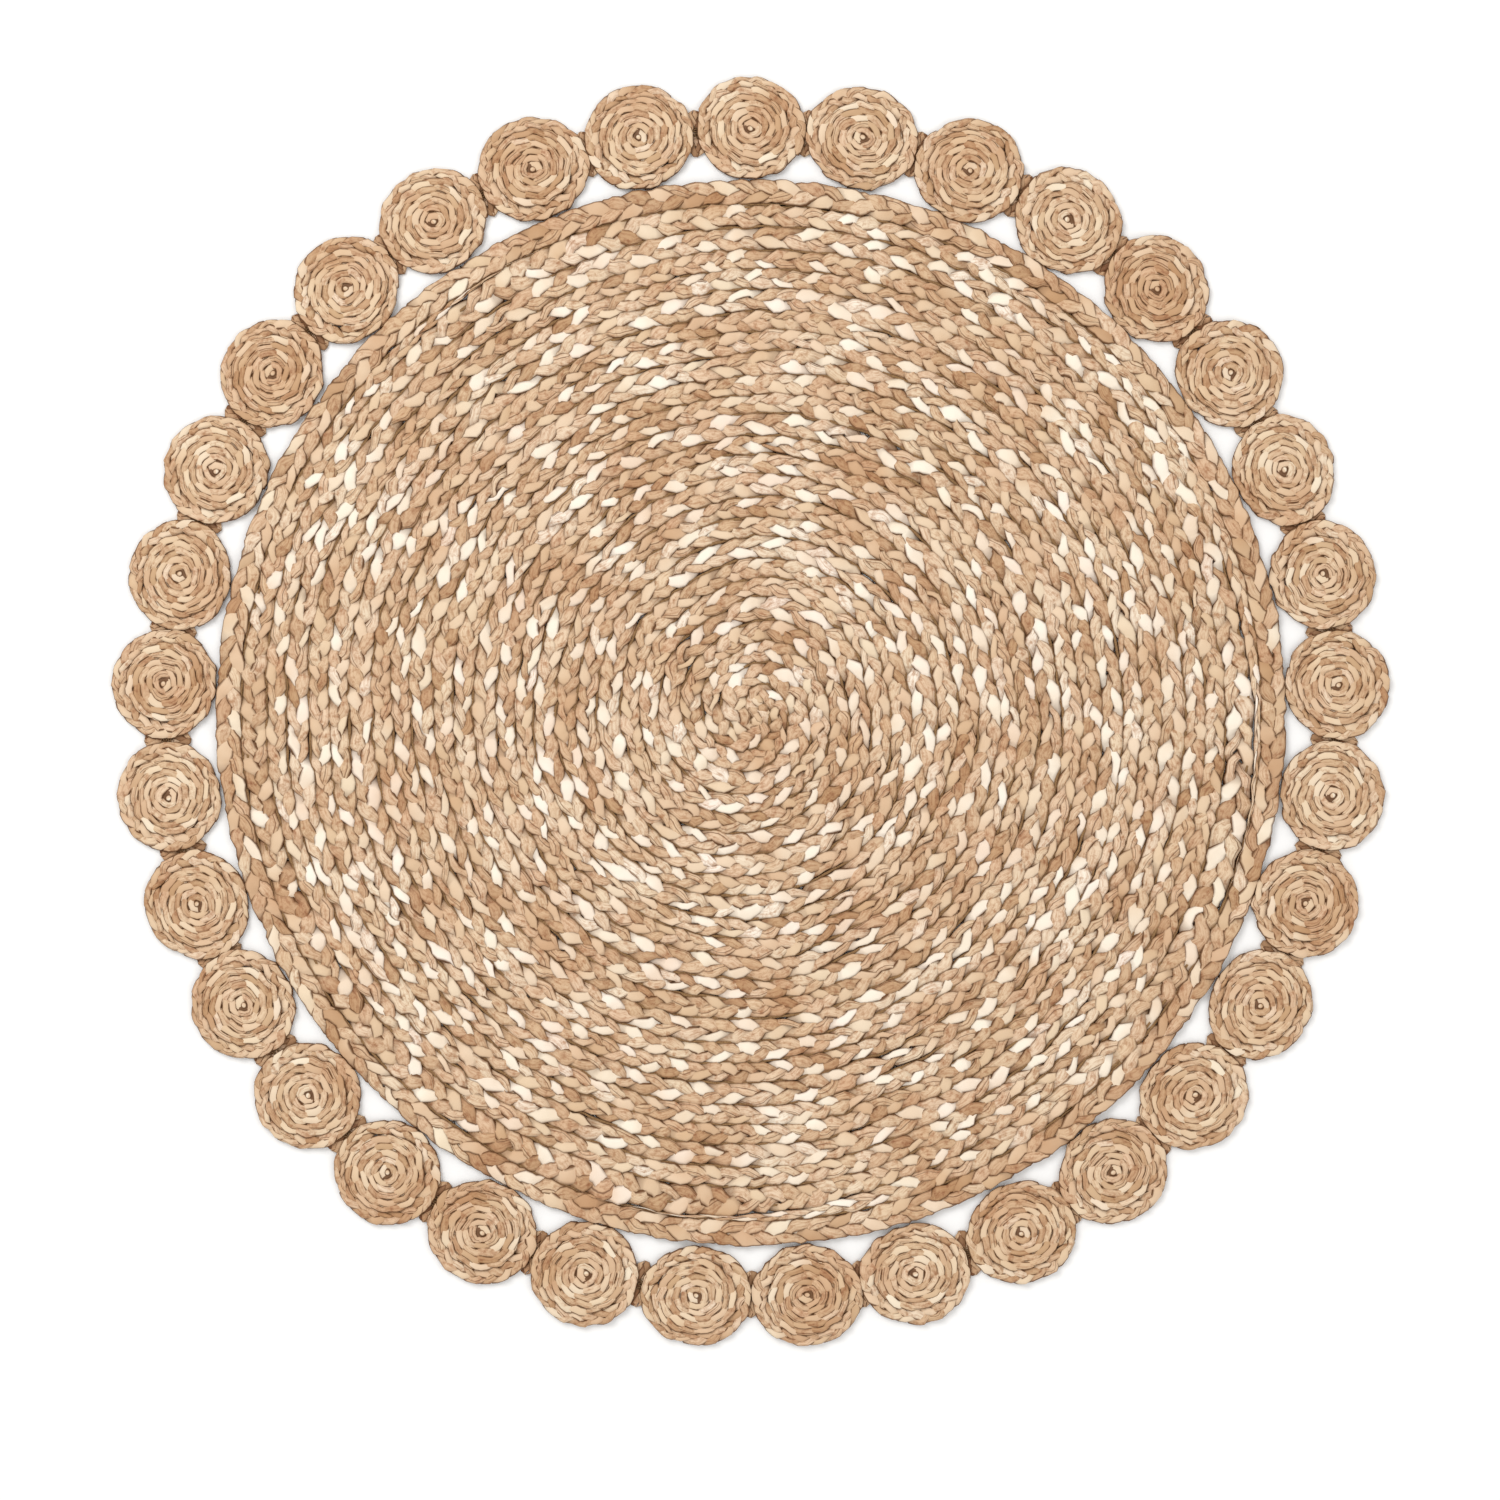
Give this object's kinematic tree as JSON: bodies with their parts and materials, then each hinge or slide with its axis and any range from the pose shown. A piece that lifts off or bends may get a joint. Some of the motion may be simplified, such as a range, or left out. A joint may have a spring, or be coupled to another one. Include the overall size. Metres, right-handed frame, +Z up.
{
  "type": "area rug",
  "caption": "Round area rug of plaited plant fibre: a flat coiled field of three plaits wound side by side, a heavier border plait, and a ring of small coiled medallions sewn around the edge.",
  "frame": {"origin": "middle of the underside, where the field braids start", "axes": "+Z up from the floor through the rug's thickness, +Y towards the one medallion that stands on the axis, +X to the right seen from above"},
  "size_m": [1.2048, 1.2035, 0.0105],
  "materials": {
    "field_fibre": "dried water hyacinth stalk, plaited, natural tan with cream strands",
    "border_fibre": "dried water hyacinth stalk in a heavier plait, natural tan",
    "medallion_fibre": "dried water hyacinth stalk, tightly coiled plait, natural tan",
    "link_fibre": "dried water hyacinth stalk, darker short plait",
    "sewing_thread": "matt twisted jute thread"
  },
  "bodies": {
    "root": {"field_braid_wide": "field_fibre", "field_braid_light": "field_fibre", "field_braid_dark": "field_fibre", "border_braid": "border_fibre", "medallion_01": "medallion_fibre", "medallion_02": "medallion_fibre", "medallion_03": "medallion_fibre", "medallion_04": "medallion_fibre", "medallion_05": "medallion_fibre", "medallion_06": "medallion_fibre", "medallion_07": "medallion_fibre", "medallion_08": "medallion_fibre", "medallion_09": "medallion_fibre", "medallion_10": "medallion_fibre", "medallion_11": "medallion_fibre", "medallion_12": "medallion_fibre", "medallion_13": "medallion_fibre", "medallion_14": "medallion_fibre", "medallion_15": "medallion_fibre", "medallion_16": "medallion_fibre", "medallion_17": "medallion_fibre", "medallion_18": "medallion_fibre", "medallion_19": "medallion_fibre", "medallion_20": "medallion_fibre", "medallion_21": "medallion_fibre", "medallion_22": "medallion_fibre", "medallion_23": "medallion_fibre", "medallion_24": "medallion_fibre", "medallion_25": "medallion_fibre", "medallion_26": "medallion_fibre", "medallion_27": "medallion_fibre", "medallion_28": "medallion_fibre", "medallion_29": "medallion_fibre", "medallion_30": "medallion_fibre", "medallion_31": "medallion_fibre", "medallion_32": "medallion_fibre", "medallion_33": "medallion_fibre", "medallion_links": "link_fibre", "field_thread": "sewing_thread", "border_thread": "sewing_thread", "medallion_stitches": "sewing_thread"}
  },
  "joints": []
}
